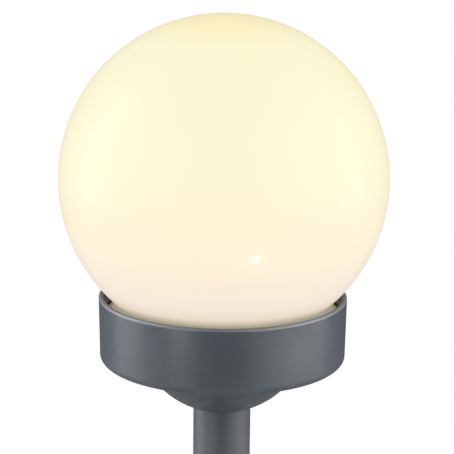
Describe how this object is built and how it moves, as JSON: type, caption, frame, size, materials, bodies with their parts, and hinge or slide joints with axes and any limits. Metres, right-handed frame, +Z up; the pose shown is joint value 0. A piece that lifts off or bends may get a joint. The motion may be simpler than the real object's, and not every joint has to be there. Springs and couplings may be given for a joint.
{
  "type": "garden globe light",
  "caption": "Opal globe in a round collar on a post with a ground spike; lit from below by lamps fed from solar panels under the globe.",
  "frame": {"origin": "on the post's axis at ground level, the underside of the spike's disc", "axes": "+Z up along the post, -Y towards the front, +Y towards the switch at the back"},
  "size_m": [0.15, 0.15, 0.47],
  "materials": {
    "opal_plastic": "translucent opal, glossy outside",
    "anthracite_plastic": "satin, fine moulded texture",
    "anthracite_tube": "satin powder coat",
    "seat_plastic": "matt",
    "reflector_plastic": "white, half gloss",
    "panel_resin": "clear resin over dark blue cells",
    "lamp_resin": "clear warm resin, lit",
    "lead_steel": "tinned",
    "screw_steel": "zinc plated",
    "gasket_rubber": "soft, matt",
    "bush_plastic": "smooth acetal",
    "board_laminate": "solder mask",
    "chip_plastic": "moulded",
    "ferrite": "ferrite core with a sleeve",
    "can_aluminium": "drawn can",
    "holder_plastic": "moulded",
    "cell_sleeve": "plain shrink sleeve",
    "contact_nickel": "nickel plated strip",
    "switch_plastic": "moulded",
    "red_sleeve": "soft insulation",
    "black_sleeve": "soft insulation"
  },
  "bodies": {
    "stake": {"ground_spike": "anthracite_plastic"},
    "post": {"post_tube": "anthracite_tube"},
    "head": {"collar_cup": "anthracite_plastic", "socket_bowl": "anthracite_plastic", "bowl_gasket": "gasket_rubber", "bowl_screws": "screw_steel", "globe_seat": "seat_plastic", "seat_gasket": "gasket_rubber", "deck_screws": "screw_steel", "neck_seal": "gasket_rubber", "reflector_plate": "reflector_plastic", "reflector_screws": "screw_steel", "solar_panel_front": "panel_resin", "solar_panel_rear": "panel_resin", "led_lamp_left": "lamp_resin", "led_lamp_centre": "lamp_resin", "led_lamp_right": "lamp_resin", "lamp_legs": "lead_steel", "circuit_board": "board_laminate", "driver_chip": "chip_plastic", "charging_coil": "ferrite", "capacitor": "can_aluminium", "board_screws": "screw_steel", "battery_holder": "holder_plastic", "battery_cell": "cell_sleeve", "battery_contact": "contact_nickel", "battery_leaf_spring": "contact_nickel", "holder_screws": "screw_steel", "switch_body": "switch_plastic", "switch_screws": "screw_steel", "panel_leads_black": "black_sleeve", "panel_leads_red": "red_sleeve", "battery_lead_black": "black_sleeve", "battery_lead_red": "red_sleeve", "switch_lead_black": "black_sleeve", "switch_lead_red": "red_sleeve", "socket_bush": "bush_plastic"},
    "globe": {"globe": "opal_plastic"},
    "switch_knob": {"switch_slider": "switch_plastic"}
  },
  "joints": [
    {"name": "post_turn", "type": "hinge", "parent": "stake", "child": "post", "pos_m": [0, 0, 0.003], "axis": [0, 0, 1], "continuous": true},
    {"name": "head_lift", "type": "slide", "parent": "post", "child": "head", "axis": [0, 0, 1], "range_m": [0, 0.03]},
    {"name": "globe_lift", "type": "slide", "parent": "head", "child": "globe", "axis": [0, 0, 1], "range_m": [0, 0.06]},
    {"name": "switch_slide", "type": "slide", "parent": "head", "child": "switch_knob", "axis": [1, 0, 0], "range_m": [0, 0.003]}
  ]
}
